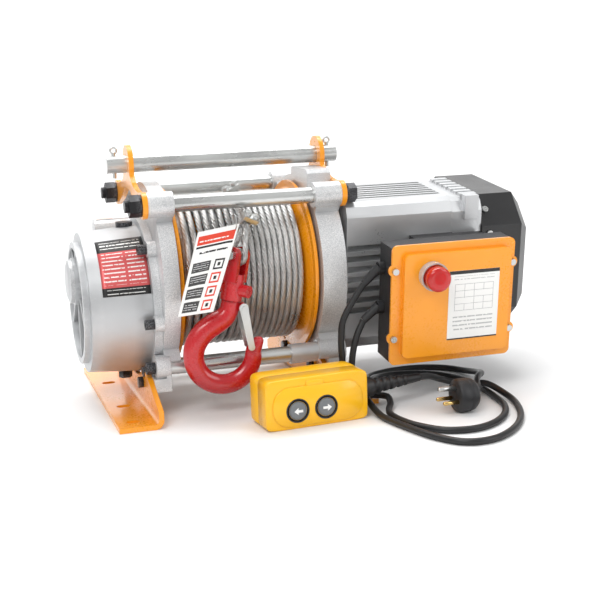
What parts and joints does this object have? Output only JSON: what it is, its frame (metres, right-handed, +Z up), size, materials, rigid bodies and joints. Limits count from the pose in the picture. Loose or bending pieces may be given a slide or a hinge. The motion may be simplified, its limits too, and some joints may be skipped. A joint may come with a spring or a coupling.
{
  "type": "electric wire rope hoist",
  "caption": "Compact electric wire rope hoist: finned motor, flanged rope drum, gearbox, slotted feet, hanging rod, swivel hook and corded push-button pendant.",
  "frame": {"origin": "centre of the pattern of foot slots, on the surface that the feet stand on", "axes": "+X along the drum and motor axis towards the fan cover, -Y the front with the hook, +Z up"},
  "size_m": [0.482, 0.411, 0.261],
  "materials": {
    "casting": "silver paint on a casting",
    "orange_paint": "gloss orange paint",
    "zinc": "zinc plated steel",
    "black_steel": "blackened steel",
    "wire_rope": "stranded steel wire",
    "machine_steel": "ground steel",
    "copper": "enamelled copper",
    "black_plastic": "black moulded plastic",
    "pale_plastic": "pale moulded plastic",
    "red_plastic": "translucent red plastic",
    "clear_plastic": "clear plastic",
    "yellow_plastic": "yellow moulded plastic",
    "grey_plastic": "grey plastic",
    "cord": "black rubber sheath",
    "red_paint": "gloss red paint on a forging"
  },
  "bodies": {
    "root": {"left_frame": "casting", "right_frame": "casting", "tie_tube_front": "zinc", "tie_tube_rear": "zinc", "tie_rods_lower": "zinc", "tie_bolts": "black_steel", "hanger_plate_left": "orange_paint", "hanger_plate_right": "orange_paint", "foot_left": "orange_paint", "foot_right": "orange_paint", "foot_bolts": "black_steel", "gearbox_housing": "casting", "gearbox_screws": "black_steel", "bearing_cap": "casting", "oil_plugs": "black_steel", "drum_bearings": "machine_steel", "motor_bearings": "machine_steel", "motor_frame": "casting", "stator_core": "machine_steel", "stator_windings": "copper", "end_shield": "casting", "fan_cover": "black_steel", "cover_screws": "zinc", "brake_coil": "copper", "terminal_box": "black_plastic", "control_box_base": "black_plastic", "control_box_lid": "orange_paint", "contactor": "pale_plastic", "capacitor": "pale_plastic", "stop_button_collar": "clear_plastic", "cable_glands": "black_plastic", "pendant_front": "yellow_plastic", "pendant_back": "yellow_plastic", "pendant_contacts": "pale_plastic", "pendant_boot": "black_plastic", "pendant_cord": "cord", "power_cord": "cord", "power_plug": "black_plastic", "rope_tail": "wire_rope", "rope_clips": "zinc"},
    "drum": {"drum": "orange_paint", "rope_winding": "wire_rope", "output_gear": "machine_steel"},
    "layshaft_b": {"layshaft_b": "machine_steel"},
    "layshaft_a": {"layshaft_a": "machine_steel"},
    "rotor": {"motor_shaft": "machine_steel", "rotor_core": "machine_steel", "fan": "black_plastic", "brake_disc": "black_plastic"},
    "armature": {"brake_armature": "machine_steel"},
    "hanging_rod": {"hanging_rod": "zinc", "cotter_pins": "zinc"},
    "clevis": {"hook_clevis": "red_paint", "clevis_pin": "zinc"},
    "hook": {"hook": "red_paint"},
    "latch": {"hook_latch": "zinc"},
    "tag": {"hook_tag": "pale_plastic"},
    "button_left": {"pendant_button_left": "grey_plastic"},
    "button_right": {"pendant_button_right": "grey_plastic"},
    "stop_button": {"stop_button": "red_plastic"}
  },
  "joints": [
    {"name": "drum_spin", "type": "hinge", "parent": "root", "child": "drum", "pos_m": [0, 0, 0.127], "axis": [1, 0, 0], "continuous": true},
    {"name": "layshaft_b_spin", "type": "hinge", "parent": "root", "child": "layshaft_b", "pos_m": [0, 0.01941, 0.09317], "axis": [1, 0, 0], "continuous": true},
    {"name": "layshaft_a_spin", "type": "hinge", "parent": "root", "child": "layshaft_a", "pos_m": [0, -0.018, 0.09582], "axis": [1, 0, 0], "continuous": true},
    {"name": "rotor_spin", "type": "hinge", "parent": "root", "child": "rotor", "pos_m": [0, 0, 0.127], "axis": [1, 0, 0], "continuous": true},
    {"name": "brake_release", "type": "slide", "parent": "root", "child": "armature", "axis": [1, 0, 0], "range_m": [0, 0.0004], "stiffness_N_per_m": 4000},
    {"name": "hanging_rod_spin", "type": "hinge", "parent": "root", "child": "hanging_rod", "pos_m": [0, 0, 0.242], "axis": [1, 0, 0], "continuous": true},
    {"name": "hook_swing", "type": "hinge", "parent": "root", "child": "clevis", "pos_m": [-0.003, -0.101, 0.157], "axis": [-0.6941, -0.7071, 0.1349], "range_deg": [-1, 7]},
    {"name": "hook_swivel", "type": "hinge", "parent": "clevis", "child": "hook", "pos_m": [-0.003, -0.101, 0.157], "axis": [0.1908, 0, 0.9816], "range_deg": [-14, 14]},
    {"name": "latch_swing", "type": "hinge", "parent": "hook", "child": "latch", "pos_m": [-0.001, -0.101, 0.10598], "axis": [0, 1, 0], "range_deg": [0, 24], "stiffness_Nm_per_rad": 0.05, "springref_deg": -20.05},
    {"name": "tag_swing", "type": "hinge", "parent": "root", "child": "tag", "pos_m": [-0.007, -0.1114, 0.1905], "axis": [-1, 0, 0], "range_deg": [0, 60]},
    {"name": "pendant_left_press", "type": "slide", "parent": "root", "child": "button_left", "axis": [-0.0837, 0.9965, 0], "range_m": [0, 0.003], "stiffness_N_per_m": 900},
    {"name": "pendant_right_press", "type": "slide", "parent": "root", "child": "button_right", "axis": [-0.0837, 0.9965, 0], "range_m": [0, 0.003], "stiffness_N_per_m": 900},
    {"name": "stop_press", "type": "slide", "parent": "root", "child": "stop_button", "axis": [0, 0.9925, 0.1219], "range_m": [0, 0.004], "stiffness_N_per_m": 1500}
  ],
  "couplings": [
    {"joint": "layshaft_b_spin", "follows": "drum_spin", "ratio": -2.7143},
    {"joint": "layshaft_a_spin", "follows": "drum_spin", "ratio": 10.857},
    {"joint": "rotor_spin", "follows": "drum_spin", "ratio": -54.286}
  ]
}
